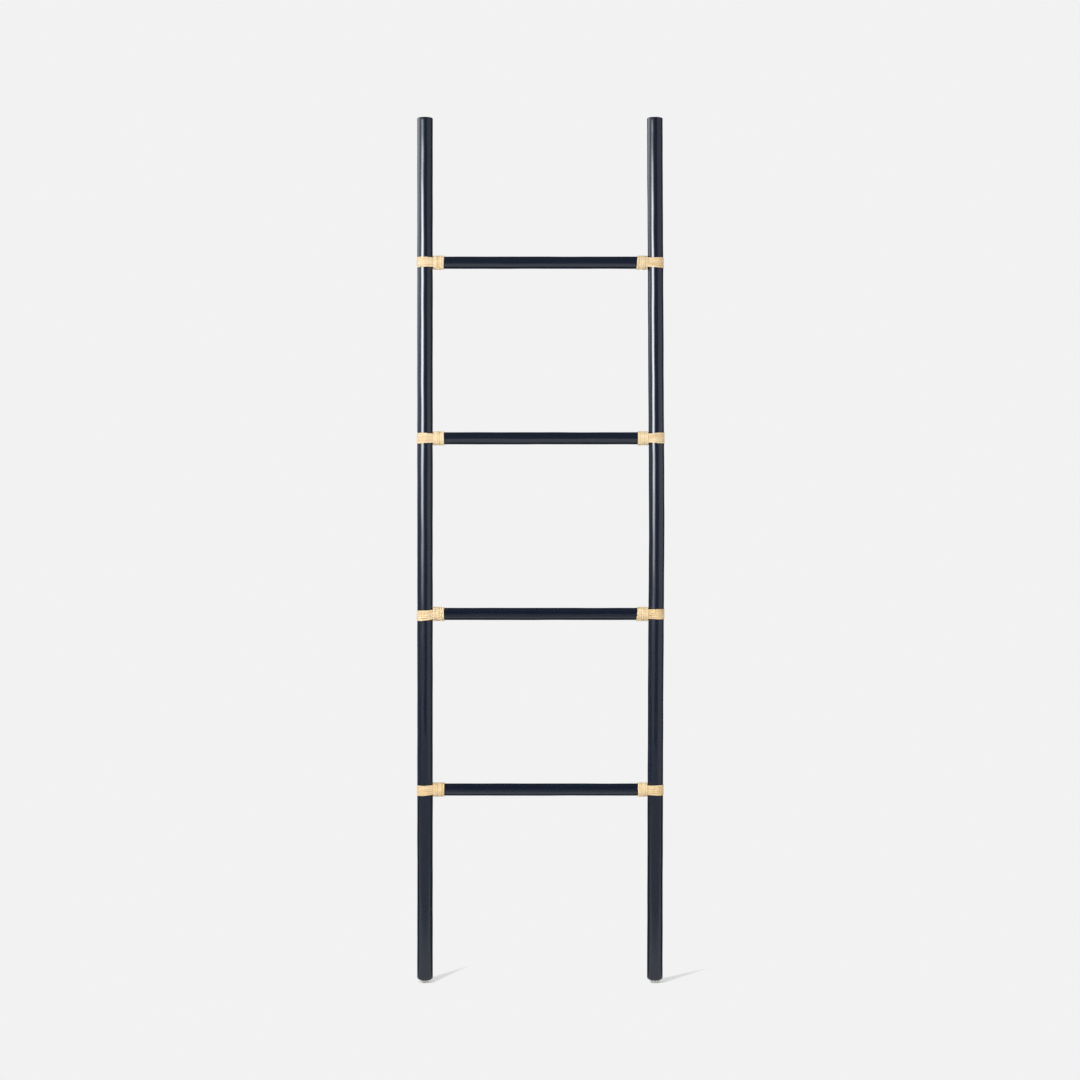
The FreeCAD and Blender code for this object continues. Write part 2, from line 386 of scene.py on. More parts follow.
def make_stile(side, finish):
    """Pole: axis plus radius times cosine and sine of the turn, with lumps that fade out at its ends."""
    heights, radii = stile_profile()
    turn = np.linspace(0.0, 2 * math.pi, POLE_SIDES, endpoint=False)
    seed = STILE_SEED[side]
    shaft = (np.clip((heights - GLIDE_HEIGHT) / STILE_FADE, 0, 1)
             * np.clip((STILE_TOP - heights) / STILE_FADE, 0, 1))
    swell = lumps(heights[:, None], turn[None, :], seed) * smooth_step(shaft)[:, None]
    radius = radii[:, None] + swell - POLE_LUMP / 2 * shaft[:, None]
    offset = np.stack([radius * np.cos(turn), radius * np.sin(turn), heights[:, None] + 0 * radius],
                      axis=-1)
    grid = offset + stile_axis(side, heights)[:, None, None] * ALONG
    grain = offset + UP * (STILE_GRAIN_SHIFT * seed)
    piece = closed_piece("lacquered_stile_" + side, [grid], [grain], "grain")
    dressed(piece, finish, "stile_" + side)


def make_rung(name, finish):
    """Pole between two saddles, with rings that crowd at its ends and lumps that fade out there.

    At each end X is off the stile's axis by the root of its seat squared less the depth squared.
    """
    turn = np.linspace(0.0, 2 * math.pi, POLE_SIDES, endpoint=False)
    even = np.linspace(0.0, 1.0, RUNG_RINGS)
    run = smooth_step(even) * RUNG_CROWDING + even * (1 - RUNG_CROWDING)
    share = np.concatenate([np.zeros(len(RUNG_END_RINGS)), run, np.ones(len(RUNG_END_RINGS))])
    radii = RUNG_RADIUS * np.concatenate([RUNG_END_RINGS, np.ones(RUNG_RINGS), RUNG_END_RINGS[::-1]])
    height = RUNG_HEIGHT[name]
    seed = RUNG_SEED + height
    fade = smooth_step(np.minimum(share, 1 - share) / RUNG_FADE)
    radius = radii[:, None] + lumps(share[:, None] * RUNG_RUN, turn[None, :], seed) * fade[:, None]
    depth = radius * np.cos(turn)
    rise = radius * np.sin(turn)
    saddle = np.sqrt(STILE_SEAT ** 2 - depth ** 2)
    left, right = LEFT_AXIS + saddle, RIGHT_AXIS[name] - saddle
    along = left + (right - left) * share[:, None]
    grid = np.stack([along, depth, height + rise], axis=-1)
    grain = np.stack([depth, rise, along + RUNG_GRAIN_SHIFT * seed], axis=-1)
    piece = closed_piece("lacquered_rung_" + name, [grid], [grain], "grain")
    dressed(piece, finish, "rung_" + name)


def at_joint(points, side, name):
    """Points of a left joint moved to one joint, with X turned over on the right."""
    if side == "left":
        return points + np.array([LEFT_AXIS, 0.0, RUNG_HEIGHT[name]])
    return points * np.array([-1.0, 1.0, 1.0]) + np.array([RIGHT_AXIS[name], 0.0, RUNG_HEIGHT[name]])


def strap_half(place, drop, slip, near, far):
    """Front half of one strip, from outside the stile to its tail: an arc, a bridge and the rung's side.

    The level on the stile is place times pitch times spread less the drop, both eased in along the strip.
    """
    angle = place * TAIL_STEP - slip / RUNG_SEAT
    tail_out = np.array([0.0, -math.cos(angle), math.sin(angle)])
    tail_across = np.array([0.0, math.sin(angle), math.cos(angle)])
    depth = RUNG_SEAT * math.cos(angle) - STRIP_WIDTH / 2 * abs(math.sin(angle))
    leave = math.atan2(depth, TAIL_START) + math.acos(STILE_SEAT / math.hypot(TAIL_START, depth))
    middle = STILE_SEAT + STRIP_THICKNESS / 2
    turn = np.linspace(math.pi, leave, WRAP_STEPS)
    wrap_out = np.stack([np.cos(turn), -np.sin(turn), 0 * turn], axis=-1)
    eased = smooth_step((middle * (turn - leave) + EASE_LEAD) / EASE_LENGTH)
    spread = near + (far - near) * eased
    level = place * STRAP_PITCH * spread - slip - (drop - slip) * eased
    wrap = wrap_out * middle + level[:, None] * UP
    tail_point = tail_out * (RUNG_SEAT + STRIP_THICKNESS / 2)
    start = tail_point + TAIL_START * ALONG
    ease = np.linspace(0.0, 1.0, BRIDGE_STEPS)[1:, None]
    bridge = wrap[-1] + (start - wrap[-1]) * ease
    bridge_out = wrap_out[-1] + (tail_out - wrap_out[-1]) * ease
    bridge_across = UP + (tail_across - UP) * ease
    tail = tail_point + np.linspace(TAIL_START, TAIL_STOP, TAIL_STEPS)[1:, None] * ALONG
    path = np.concatenate([wrap, bridge, tail])
    outward = np.concatenate([wrap_out, bridge_out, np.tile(tail_out, (len(tail), 1))])
    across = np.concatenate([np.tile(UP, (len(wrap), 1)), bridge_across,
                             np.tile(tail_across, (len(tail), 1))])
    spread = np.concatenate([spread, near + (1.0 - near) * ease[:, 0], np.ones(len(tail))])
    return path, outward, across, spread


def edge_wander(number, share, seed):
    """How far an edge between strips strays: slow and quick waves, out of step from edge to edge."""
    return STRIP_WANDER * sum(size * np.sin(rate * share + step * number + seeds * seed)
                              for size, rate, step, seeds in EDGE_WAVES)


def mirrored(half):
    """Whole strip from its front half: its points last to first with Y turned over, then the half."""
    turned = half[:0:-1] * (np.array([1.0, -1.0, 1.0]) if half.ndim == 2 else 1.0)
    return np.concatenate([turned, half])


def make_strap(side, name, finish):
    """Strips side by side round a joint: a superellipse section carried between two edges that wander."""
    seed = STRAP_SEED_RATE * RUNG_HEIGHT[name] + STRAP_SEED[side]
    grids, marks = [], []
    for index in range(STRAP_STRIPS):
        place = index - (STRAP_STRIPS - 1) / 2
        half = strap_half(place, *LAID[side, name])
        path, outward, across, spread = (mirrored(part) for part in half)
        share = np.linspace(0.0, 1.0, len(path))
        lower, upper = edge_wander(index, share, seed), edge_wander(index + 1, share, seed)
        path = eased_path(path + across * (lower + upper)[:, None] / 2, passes=3)
        half_width = STRIP_WIDTH / 2 * STRAP_FULLNESS * spread + (upper - lower) / 2
        across, outward = unit(eased_path(across, passes=4)), unit(eased_path(outward, passes=4))
        grid = carried_section(path, across, outward, half_width, STRIP_THICKNESS / 2)
        grids.append(at_joint(grid, side, name))
        marks.append(strip_marks(path, seed + STRIP_SEED_STEP * index))
    piece = closed_piece("peel_strap_" + side + "_" + name, grids, marks, "peel")
    tanned_and_shaded(piece, JOINT_TAN_AND_SHADE[side, name][0])
    dressed(piece, finish, "strap_" + side + "_" + name)


def collar_path(pitch, draw, lean):
    """Middle line of a winding, turn by turn, which stops at the back on its tack.

    In front, a half circle leans along the rung by its lean times the sine. Behind, a half turn steps on
    by half a step times one less the cosine, while its lean eases into the next one.
    """
    rise = np.linspace(-math.pi / 2, math.pi / 2, HALF_TURN_STEPS)
    fall = np.linspace(0.0, math.pi, HALF_TURN_STEPS)[1:-1]
    count = np.arange(COLLAR_TURNS)[:, None]
    turns = FIRST_TURN + pitch * count
    step = np.where(count < COLLAR_TURNS - 1, pitch, COLLAR_PITCH + 2 * draw)
    leans = lean * count / (COLLAR_TURNS - 1)
    after = lean * np.minimum(count + 1, COLLAR_TURNS - 1) / (COLLAR_TURNS - 1)
    front = np.stack([turns + leans * np.sin(rise),
                      -COLLAR_RADIUS * np.cos(rise) + 0 * turns,
                      COLLAR_RADIUS * np.sin(rise) + 0 * turns], axis=-1)
    evened = leans * (1 + np.cos(fall)) / 2 - after * (1 - np.cos(fall)) / 2
    back = np.stack([turns + step / 2 * (1 - np.cos(fall)) + evened,
                     BACK_RADIUS * np.sin(fall) + 0 * turns,
                     COLLAR_RADIUS * np.cos(fall) + 0 * turns], axis=-1)
    whole = np.concatenate([front, back], axis=1).reshape(-1, 3)
    spare = np.count_nonzero(fall > math.pi / 2)
    return whole[:-spare]


def make_collar(side, name, finish):
    """One strip wound round the rung's end: a superellipse section carried along the winding.

    Three slow waves stray it along the rung, press it down and swell its width.
    """
    draw, lean = WOUND[side, name]
    pitch = COLLAR_PITCH - draw / (COLLAR_TURNS - 1)
    path = collar_path(pitch, draw, lean)
    seed = COLLAR_SEED_RATE * RUNG_HEIGHT[name] + COLLAR_SEED[side]
    outward = unit(path * np.array([0.0, 1.0, 1.0]))
    across = np.tile(ALONG, (len(path), 1))
    turned = np.linspace(0.0, COLLAR_TURNS * 2 * math.pi, len(path))
    stray = STRIP_WANDER * np.sin(COLLAR_STRAY_RATE * turned + seed)
    lift = COLLAR_LIFT * np.sin(COLLAR_LIFT_RATE * turned + 2 * seed) - COLLAR_LIFT
    swell = 1.0 + COLLAR_SWELL * np.sin(COLLAR_SWELL_RATE * turned + seed)
    path = eased_path(path + across * stray[:, None] + outward * lift[:, None], passes=2)
    half_width = STRIP_WIDTH / 2 * (COLLAR_FULLNESS * pitch / COLLAR_PITCH) * swell
    grid = carried_section(path, across, outward, half_width, STRIP_THICKNESS / 2)
    piece = closed_piece("peel_collar_" + side + "_" + name, [at_joint(grid, side, name)],
                         [strip_marks(path, seed)], "peel")
    tanned_and_shaded(piece, JOINT_TAN_AND_SHADE[side, name][1])
    dressed(piece, finish, "collar_" + side + "_" + name)


def make_glide(side, finish):
    """Turned pad: a flat, a dome on one circle about the axis, a straight rim and a flat top."""
    dome_height = GLIDE_HEIGHT - GLIDE_RIM
    middle = (dome_height + (GLIDE_RADIUS ** 2 - GLIDE_FLAT ** 2) / dome_height) / 2
    dome_radius = math.hypot(middle, GLIDE_FLAT)
    rise = np.linspace(0.0, dome_height, DOME_STEPS)
    dome = np.sqrt(dome_radius ** 2 - (rise - middle) ** 2)
    heights = np.concatenate([[0.0, 0.0], rise, [GLIDE_HEIGHT - GLIDE_EDGE], np.full(3, GLIDE_HEIGHT)])
    radii = np.concatenate([[GLIDE_MIDDLE, GLIDE_FLAT * GLIDE_FLAT_RING], dome,
                            [GLIDE_RADIUS, GLIDE_RADIUS - GLIDE_EDGE],
                            [GLIDE_RADIUS * GLIDE_TOP_RING, GLIDE_MIDDLE]])
    turn = np.linspace(0.0, 2 * math.pi, GLIDE_SIDES, endpoint=False)
    offset = np.stack([radii[:, None] * np.cos(turn), radii[:, None] * np.sin(turn),
                       heights[:, None] + 0 * turn], axis=-1)
    grid = offset + centre("glide_" + side).x * ALONG
    piece = closed_piece("foot_glide_" + side, [grid], [offset], "moulding")
    dressed(piece, finish, "glide_" + side)


# Colours of the finishes
LACQUER_DARK = (0.0046, 0.0084, 0.0185)
LACQUER_FIBRE = (0.0078, 0.0118, 0.0238)
LACQUER_DRIFT = (0.0058, 0.0092, 0.0185)
PEEL_CREAM = (0.98, 0.835, 0.58)
PEEL_STRAW = (0.825, 0.605, 0.34)
PEEL_BLOTCH = (0.81, 0.565, 0.28)
PEEL_PALE = (0.97, 0.87, 0.65)
PEEL_VEIN = (0.65, 0.39, 0.145)
# Tan of the cane, which also serves as painted shade on the right-hand and lower joints
PEEL_TAN_SHADE = (0.63, 0.40, 0.13)
PEEL_EDGE = (0.56, 0.31, 0.10)
PLASTIC_DULL = (0.64, 0.655, 0.61)
PLASTIC_CLEAR = (0.72, 0.735, 0.695)
ZINC_DULL = (0.50, 0.50, 0.49)
ZINC_BRIGHT = (0.70, 0.70, 0.68)


def new_finish(name):
    """New material, with its node tree and its shader."""
    finish = bpy.data.materials.new(name)
    finish.use_nodes = True
    return finish, finish.node_tree, finish.node_tree.nodes["Principled BSDF"]


def mark_vector(tree, name, scale):
    """A piece's own vector mark, times a scale for each of its three parts."""
    mark = tree.nodes.new("ShaderNodeAttribute")
    mark.attribute_name = name
    mapping = tree.nodes.new("ShaderNodeMapping")
    mapping.inputs["Scale"].default_value = scale
    tree.links.new(mark.outputs["Vector"], mapping.inputs["Vector"])
    return mapping.outputs["Vector"]


def noise(tree, vector, detail, roughness, scale=1.0):
    """Cloud noise over a vector."""
    node = tree.nodes.new("ShaderNodeTexNoise")
    node.inputs["Scale"].default_value = scale
    node.inputs["Detail"].default_value = detail
    node.inputs["Roughness"].default_value = roughness
    tree.links.new(vector, node.inputs["Vector"])
    return node.outputs[0]


def ramp(tree, value, span, reach=(0.0, 1.0)):
    """A value eased from one range to another."""
    node = tree.nodes.new("ShaderNodeMapRange")
    node.interpolation_type = "SMOOTHSTEP"
    for socket, amount in zip(("From Min", "From Max", "To Min", "To Max"), (*span, *reach)):
        node.inputs[socket].default_value = amount
    tree.links.new(value, node.inputs["Value"])
    return node.outputs["Result"]


def combine(tree, operation, first, second):
    """Two values put together by one operation; the second may be a number."""
    node = tree.nodes.new("ShaderNodeMath")
    node.operation = operation
    tree.links.new(first, node.inputs[0])
    if isinstance(second, float):
        node.inputs[1].default_value = second
    else:
        tree.links.new(second, node.inputs[1])
    return node.outputs[0]


def tint(tree, factor, first, second):
    """Colour from the first to the second by a factor; each is a colour or another tint."""
    node = tree.nodes.new("ShaderNodeMix")
    node.data_type = "RGBA"
    tree.links.new(factor, node.inputs[0])
    for socket, colour in ((node.inputs[6], first), (node.inputs[7], second)):
        if isinstance(colour, tuple):
            socket.default_value = (*colour, 1.0)
        else:
            tree.links.new(colour, socket)
    return node.outputs[2]


def mixed(tree, share, first, second):
    """Shader from the first to the second by a share."""
    node = tree.nodes.new("ShaderNodeMixShader")
    for socket, source in zip(node.inputs, (share, first, second)):
        tree.links.new(source, socket)
    return node.outputs[0]


def bump(tree, shader, height, strength, distance):
    """Relief from a height value, onto a shader."""
    node = tree.nodes.new("ShaderNodeBump")
    node.inputs["Strength"].default_value = strength
    node.inputs["Distance"].default_value = distance
    tree.links.new(height, node.inputs["Height"])
    tree.links.new(node.outputs["Normal"], shader.inputs["Normal"])


def lacquer_finish():
    """Blue-black gloss lacquer, with the pole's long fibres faint in its colour and relief."""
    finish, tree, shader = new_finish("blue_black_lacquer")
    fibres = noise(tree, mark_vector(tree, "grain", (900.0, 900.0, 14.0)), detail=3.0, roughness=0.6)
    drift = noise(tree, mark_vector(tree, "grain", (60.0, 60.0, 9.0)), detail=2.0, roughness=0.5)
    deep = tint(tree, ramp(tree, fibres, (0.35, 0.7)), LACQUER_DARK, LACQUER_FIBRE)
    colour = tint(tree, ramp(tree, drift, (0.3, 0.75)), deep, LACQUER_DRIFT)
    tree.links.new(colour, shader.inputs["Base Color"])
    tree.links.new(ramp(tree, drift, (0.2, 0.8), (0.06, 0.12)), shader.inputs["Roughness"])
    relief = combine(tree, "ADD", combine(tree, "MULTIPLY", fibres, 0.03), drift)
    bump(tree, shader, relief, strength=0.3, distance=0.0005)
    shader.inputs["IOR"].default_value = 1.5
    return finish


def peel_finish():
    """Natural rattan peel: cream, with fibres along the strip, tan streaks and brown edges."""
    finish, tree, shader = new_finish("natural_peel")
    fibres = noise(tree, mark_vector(tree, "peel", (13.0, 2.3, 5.0)), detail=4.0, roughness=0.7)
    fine = noise(tree, mark_vector(tree, "peel", (60.0, 12.0, 3.0)), detail=2.0, roughness=0.5)
    blotch = noise(tree, mark_vector(tree, "peel", (7.0, 0.5, 9.0)), detail=2.0, roughness=0.5)
    veins = noise(tree, mark_vector(tree, "peel", (9.0, 3.4, 13.0)), detail=3.0, roughness=0.7)
    body = tint(tree, ramp(tree, fibres, (0.32, 0.70)), PEEL_CREAM, PEEL_STRAW)
    body = tint(tree, ramp(tree, blotch, (0.42, 0.75), (0.0, 0.7)), body, PEEL_BLOTCH)
    body = tint(tree, ramp(tree, fine, (0.55, 0.8), (0.0, 0.4)), body, PEEL_PALE)
    body = tint(tree, ramp(tree, veins, (0.57, 0.66), (0.0, 0.6)), body, PEEL_VEIN)
    tan_and_shade_share = tree.nodes.new("ShaderNodeAttribute")
    tan_and_shade_share.attribute_name = "tan_and_shade_share"
    # Tan tint by joint: partly the cane's tone, partly painted shade on the right-hand and lower joints
    body = tint(tree, combine(tree, "MULTIPLY", tan_and_shade_share.outputs["Fac"], 0.6), body, PEEL_TAN_SHADE)
    mark = tree.nodes.new("ShaderNodeAttribute")
    mark.attribute_name = "peel"
    parts = tree.nodes.new("ShaderNodeSeparateXYZ")
    tree.links.new(mark.outputs["Vector"], parts.inputs["Vector"])
    edge = combine(tree, "ABSOLUTE", parts.outputs["Y"], 0.0)
    colour = tint(tree, ramp(tree, edge, (0.80, 1.0), (0.0, 0.85)), body, PEEL_EDGE)
    tree.links.new(colour, shader.inputs["Base Color"])
    tree.links.new(ramp(tree, fibres, (0.2, 0.8), (0.58, 0.78)), shader.inputs["Roughness"])
    relief = combine(tree, "ADD", fibres, combine(tree, "MULTIPLY", fine, 0.5))
    bump(tree, shader, relief, strength=0.35, distance=0.0001)
    shader.inputs["Specular IOR Level"].default_value = 0.12
    return finish


def plastic_finish():
    """Milky moulded plastic that lets some light through, with small scuffs."""
    finish, tree, shader = new_finish("milky_plastic")
    cloud = noise(tree, mark_vector(tree, "moulding", (260.0, 260.0, 260.0)), detail=2.0, roughness=0.5)
    scuffs = noise(tree, mark_vector(tree, "moulding", (420.0, 420.0, 900.0)), detail=3.0, roughness=0.6)
    tree.links.new(tint(tree, cloud, PLASTIC_DULL, PLASTIC_CLEAR), shader.inputs["Base Color"])
    tree.links.new(ramp(tree, scuffs, (0.4, 0.75), (0.3, 0.5)), shader.inputs["Roughness"])
    bump(tree, shader, scuffs, strength=0.04, distance=0.00005)
    shader.inputs["Transmission Weight"].default_value = 0.2
    shader.inputs["IOR"].default_value = 1.46
    return finish


def zinc_finish():
    """Zinc-plated steel, with cloudy plating and fine scratches."""
    finish, tree, shader = new_finish("zinc_plate")
    place = tree.nodes.new("ShaderNodeTexCoord").outputs["Object"]
    cloud = noise(tree, place, detail=2.0, roughness=0.5, scale=900.0)
    scratches = noise(tree, place, detail=3.0, roughness=0.7, scale=4000.0)
    tree.links.new(tint(tree, cloud, ZINC_DULL, ZINC_BRIGHT), shader.inputs["Base Color"])
    tree.links.new(ramp(tree, scratches, (0.3, 0.7), (0.22, 0.45)), shader.inputs["Roughness"])
    bump(tree, shader, scratches, strength=0.2, distance=0.00005)
    shader.inputs["Metallic"].default_value = 1.0
    return finish


# Studio: a pale floor and backdrop, a soft key from the front left, and cards that show in the gloss
PALE = 0.888
PALE_DRIFT = 0.002
AMBIENT = 0.72
FLOOR_REACH = 40.0

# The wedge behind each foot where the floor is less lit through
FOOT_GLOW = 0.36
SHADOW_REACH = 0.22
SHADOW_FRONT = 0.012
SHADOW_HALF = 0.021
SHADOW_EDGE = (0.55, 1.1)

# Key lamp: its strength, place and size, its tilt down in degrees, and its turn to the rack in radians
KEY_LIGHT = 0.5
KEY_PLACE = (-0.94, -1.46, 1.5)
KEY_SIZE = (0.33, 0.9)
KEY_TILT = 20.0
KEY_TURN = math.atan2(KEY_PLACE[0], -KEY_PLACE[1])

# Camera: its place in front of the rack, and the width of its frame there
CAMERA_DISTANCE = 4.5
CAMERA_HEIGHT = 0.9085
CAMERA_SIDE = -0.0014
FRAME_WIDTH = 2.2181

# Cards: the half width, depth, height and back of the studio that they close in, how far the level ones
# lie over the floor or each other and keep from the rack, the oblong shelf at the camera's height, and
# the slants between which it turns from clear to solid
STUDIO_HALF = 4.0
STUDIO_DEPTH = 5.6
STUDIO_HEIGHT = 6.0
STUDIO_BACK = 2.6
CARD_LIFT = 0.002
CARD_CLEARANCE = 0.02
SHELF_HALF = 0.3
SHELF_FRONT = -1.2
SHELF_BACK = -0.1
EDGE_ON = (0.93, 0.8)

# Colours of the cards, and the eased sides of those that fade at both
CARD_WHITE = (0.97, 1.0, 1.03)
CARD_GREY = (0.95, 1.0, 1.08)
CARD_COOL = (0.93, 0.97, 1.07)
CARD_BLUE = (0.74, 0.90, 1.25)
DARK_STUDIO = (0.18, 0.21, 0.29)
DARK_BEHIND = (0.13, 0.14, 0.165)
DARK_SHELF = (0.09, 0.1, 0.125)
DARK_BACK = (0.055, 0.063, 0.085)
DARK_DRIFT = 0.6
EASED_SIDES = ((0.0, 0.05), (1.0, 0.95))


def flat_card(name, corners, finish):
    """Flat four-cornered sheet, whose UV map runs from its first corner to its third."""
    mesh = bpy.data.meshes.new(name)
    mesh.from_pydata(corners, [], [(0, 1, 2, 3)])
    layer = mesh.uv_layers.new(name="UVMap")
    layer.data.foreach_set("uv", np.array([0, 0, 1, 0, 1, 1, 0, 1], dtype=np.float32))
    mesh.materials.append(finish)
    card = bpy.data.objects.new(name, mesh)
    bpy.context.scene.collection.objects.link(card)
    return card


def level_corners(half_width, front, back, height):
    """Corners of a level oblong about X zero, from one Y to another."""
    return [(-half_width, front, height), (half_width, front, height),
            (half_width, back, height), (-half_width, back, height)]


def standing_corners(azimuth, distance, width, low, high):
    """Corners of an upright oblong that faces the rack: away from it by the sine and less the cosine.

    The azimuth is measured from the camera's side, positive to the right.
    """
    angle = math.radians(azimuth)
    away = np.array([math.sin(angle), -math.cos(angle), 0.0]) * distance
    aside = np.array([math.cos(angle), math.sin(angle), 0.0]) * width / 2
    left, right = away - aside, away + aside
    places = (left + UP * low, right + UP * low, right + UP * high, left + UP * high)
    return [tuple(place) for place in places]


def gloss_card(name, finish, corners):
    """Card that shows in gloss alone, so that it adds no light and no shadow."""
    card = flat_card(name, corners, finish)
    card.visible_camera = False
    card.visible_diffuse = False
    card.visible_shadow = False
    card.visible_transmission = False
    card.visible_volume_scatter = False


def card_finish(name):
    """New material with an emission in place of its shader."""
    finish, tree, shader = new_finish(name)
    tree.nodes.remove(shader)
    glow = tree.nodes.new("ShaderNodeEmission")
    tree.links.new(glow.outputs["Emission"], tree.nodes["Material Output"].inputs["Surface"])
    return finish, tree, glow


def glow_finish(name, dim, base, peak, rows, columns):
    """Emission over a card's UV map: a dim base, and a peak times eased rises and falls up and across it.

    Light that has left a dull surface is not taken up again, so the card throws no bright specks.
    """
    finish, tree, glow = card_finish(name)
    parts = tree.nodes.new("ShaderNodeSeparateXYZ")
    tree.links.new(tree.nodes.new("ShaderNodeTexCoord").outputs["UV"], parts.inputs["Vector"])
    level = None
    for axis, spans in (("Y", rows), ("X", columns)):
        for span in spans:
            eased = ramp(tree, parts.outputs[axis], span)
            level = eased if level is None else combine(tree, "MULTIPLY", level, eased)
    tree.links.new(tint(tree, level, dim, CARD_WHITE), glow.inputs["Color"])
    level = combine(tree, "ADD", combine(tree, "MULTIPLY", level, peak), base)
    bounces = tree.nodes.new("ShaderNodeLightPath").outputs["Diffuse Depth"]
    level = combine(tree, "MULTIPLY", level, combine(tree, "LESS_THAN", bounces, 0.5))
    tree.links.new(level, glow.inputs["Strength"])
    return finish


def dark_finish(name, colour):
    """Unlit dark of a studio, with a slow drift in it."""
    finish, tree, glow = card_finish(name)
    place = tree.nodes.new("ShaderNodeTexCoord").outputs["Object"]
    drift = noise(tree, place, detail=1.0, roughness=0.5, scale=0.4)
    darker = tuple(DARK_DRIFT * part for part in colour)
    tree.links.new(tint(tree, drift, darker, colour), glow.inputs["Color"])
    return finish


def clear_edge_on(finish):
    """Lets a card be seen through nearly edge on: its share rises with the sine of the angle to it."""
    tree = finish.node_tree
    surface = tree.nodes["Material Output"].inputs["Surface"]
    glow = surface.links[0].from_socket
    clear = tree.nodes.new("ShaderNodeBsdfTransparent").outputs["BSDF"]
    slant = tree.nodes.new("ShaderNodeLayerWeight").outputs["Facing"]
    tree.links.new(mixed(tree, ramp(tree, slant, EDGE_ON), clear, glow), surface)


def seen_rays(tree):
    """One for the rays of the camera, of gloss and through plastic, and none for the rest."""
    rays = tree.nodes.new("ShaderNodeLightPath")
    seen = combine(tree, "MAXIMUM", rays.outputs["Is Camera Ray"], rays.outputs["Is Glossy Ray"])
    return combine(tree, "MAXIMUM", seen, rays.outputs["Is Transmission Ray"])


def make_floor():
    """Flat floor of the backdrop's colour, lit through all over but less so in a wedge behind each foot.

    A wedge is told by the way along the shadow over its reach plus the way across it over half its width.
    """
    finish, tree, shader = new_finish("pale_floor")
    place = tree.nodes.new("ShaderNodeTexCoord").outputs["Object"]
    grey = noise(tree, place, detail=2.0, roughness=0.5, scale=90.0)
    tone = tint(tree, grey, (PALE - PALE_DRIFT,) * 3, (PALE + PALE_DRIFT,) * 3)
    tree.links.new(tone, shader.inputs["Base Color"])
    shader.inputs["Roughness"].default_value = 1.0
    shader.inputs["Specular IOR Level"].default_value = 0.0
    glow = tree.nodes.new("ShaderNodeEmission")
    tree.links.new(tone, glow.inputs["Color"])
    parts = tree.nodes.new("ShaderNodeSeparateXYZ")
    tree.links.new(place, parts.inputs["Vector"])
    lit = seen_rays(tree)
    for foot in (LEFT_AXIS, RIGHT_END):
        run = math.atan2(foot - KEY_PLACE[0], -KEY_PLACE[1])
        aside = combine(tree, "SUBTRACT", parts.outputs["X"], foot)
        behind = parts.outputs["Y"]
        along = combine(tree, "ADD", combine(tree, "MULTIPLY", aside, math.sin(run)),
                        combine(tree, "MULTIPLY", behind, math.cos(run)))
        across = combine(tree, "SUBTRACT", combine(tree, "MULTIPLY", aside, math.cos(run)),
                         combine(tree, "MULTIPLY", behind, math.sin(run)))
        length = combine(tree, "MAXIMUM", combine(tree, "DIVIDE", along, SHADOW_REACH),
                         combine(tree, "DIVIDE", along, -SHADOW_FRONT))
        width = combine(tree, "DIVIDE", combine(tree, "ABSOLUTE", across, 0.0), SHADOW_HALF)
        wedge = ramp(tree, combine(tree, "ADD", length, width), SHADOW_EDGE, (FOOT_GLOW, 1.0))
        lit = combine(tree, "MULTIPLY", lit, wedge)
    surface = mixed(tree, lit, shader.outputs[0], glow.outputs[0])
    tree.links.new(surface, tree.nodes["Material Output"].inputs["Surface"])
    flat_card("studio_floor", level_corners(FLOOR_REACH, -FLOOR_REACH, FLOOR_REACH, 0.0), finish)


def make_world():
    """Even surround: pale to the camera, in gloss and through plastic, and a soft fill for the rest."""
    world = bpy.data.worlds.new("studio")
    bpy.context.scene.world = world
    world.use_nodes = True
    tree = world.node_tree
    tree.nodes.clear()
    fill = tree.nodes.new("ShaderNodeBackground")
    fill.inputs["Color"].default_value = (AMBIENT, AMBIENT, AMBIENT, 1.0)
    pale = tree.nodes.new("ShaderNodeBackground")
    pale.inputs["Color"].default_value = (PALE, PALE, PALE, 1.0)
    output = tree.nodes.new("ShaderNodeOutputWorld")
    surround = mixed(tree, seen_rays(tree), fill.outputs[0], pale.outputs[0])
    tree.links.new(surround, output.inputs["Surface"])


def make_lamp():
    """Tall soft key in front on the left, as strong near as far, that stays out of the gloss."""
    lamp = bpy.data.lights.new("key", "AREA")
    lamp.shape = "RECTANGLE"
    lamp.size, lamp.size_y = KEY_SIZE
    lamp.energy = KEY_LIGHT * math.pi ** 2
    lamp.use_nodes = True
    tree = lamp.node_tree
    even = tree.nodes.new("ShaderNodeLightFalloff")
    even.inputs["Strength"].default_value = 1.0
    tree.links.new(even.outputs["Constant"], tree.nodes["Emission"].inputs["Strength"])
    holder = bpy.data.objects.new("key", lamp)
    holder.location = KEY_PLACE
    holder.rotation_euler = (math.radians(90.0 - KEY_TILT), 0.0, KEY_TURN)
    holder.visible_camera = False
    holder.visible_glossy = False
    holder.visible_transmission = False
    bpy.context.scene.collection.objects.link(holder)


def make_bright_cards():
    """Softbox and side walls, placed by where the stiles mirror them."""
    softbox = glow_finish("softbox", CARD_COOL, base=0.7, peak=24.0,
                          rows=((0.065, 0.465), (0.83, 0.605)), columns=((0.11, 0.5), (0.89, 0.5)))
    gloss_card("softbox", softbox, standing_corners(-41.5, distance=2.6, width=3.3, low=0.4, high=2.8))
    left = glow_finish("left_wall", CARD_BLUE, base=0.35, peak=3.2,
                       rows=((0.234, 0.859),), columns=((0.0, 0.08), (1.0, 0.92)))
    gloss_card("left_wall", left, standing_corners(-98.0, distance=3.2, width=6.0, low=0.0, high=3.2))
    right = glow_finish("right_wall", CARD_COOL, base=0.8, peak=0.35,
                        rows=((0.1, 0.4), (0.75, 0.45)), columns=((0.0, 0.2),))
    gloss_card("right_wall", right, standing_corners(75.0, distance=3.2, width=5.0, low=0.0, high=2.8))


